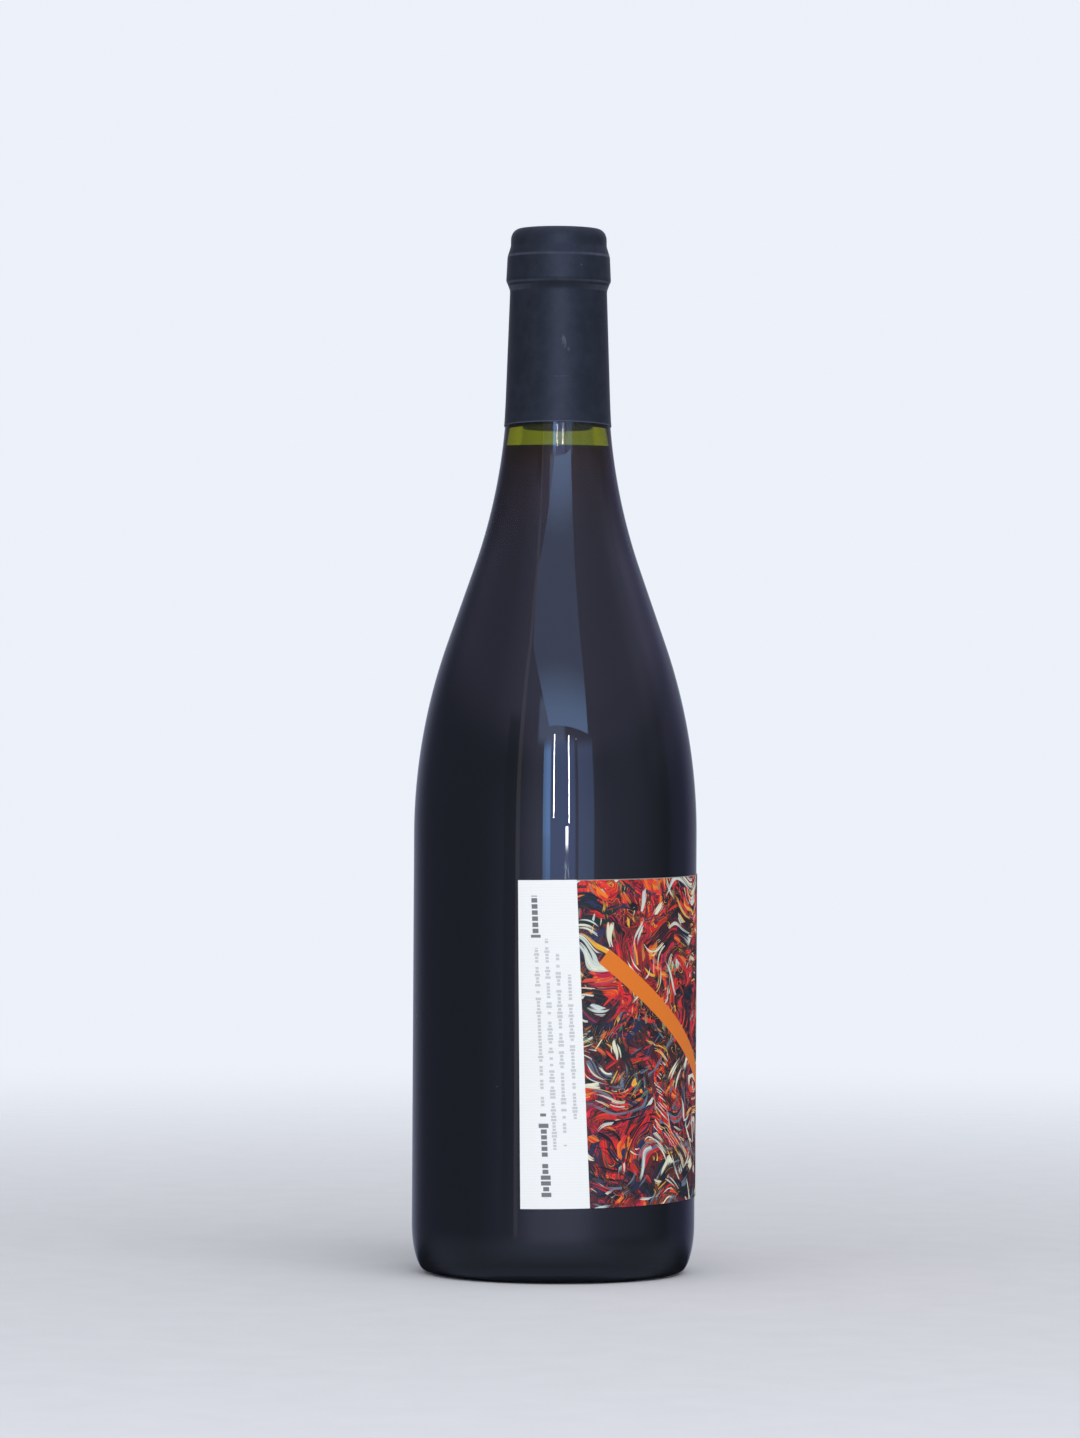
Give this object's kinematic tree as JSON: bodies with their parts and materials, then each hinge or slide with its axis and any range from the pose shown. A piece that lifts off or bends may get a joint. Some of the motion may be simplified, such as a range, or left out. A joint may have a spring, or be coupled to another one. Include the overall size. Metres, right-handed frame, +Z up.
{
  "type": "wine bottle",
  "caption": "Full, sealed wine bottle of dark glass with sloping shoulders, a foil capsule over the neck and a wraparound paper label.",
  "frame": {"origin": "centre of the base, on the plane the bottle stands on", "axes": "+Z up along the bottle's axis; the front, where the label starts, looks along -Y"},
  "size_m": [0.0807, 0.081, 0.297],
  "materials": {
    "dark_glass": "clear gloss, dark olive green",
    "red_wine": "clear dark red liquid",
    "capsule_foil": "matt dark slate, faint scuffs",
    "label_paper": "uncoated white paper with printed fields of colour"
  },
  "bodies": {
    "root": {"bottle_glass": "dark_glass", "wine": "red_wine", "capsule": "capsule_foil", "label": "label_paper"}
  },
  "joints": []
}
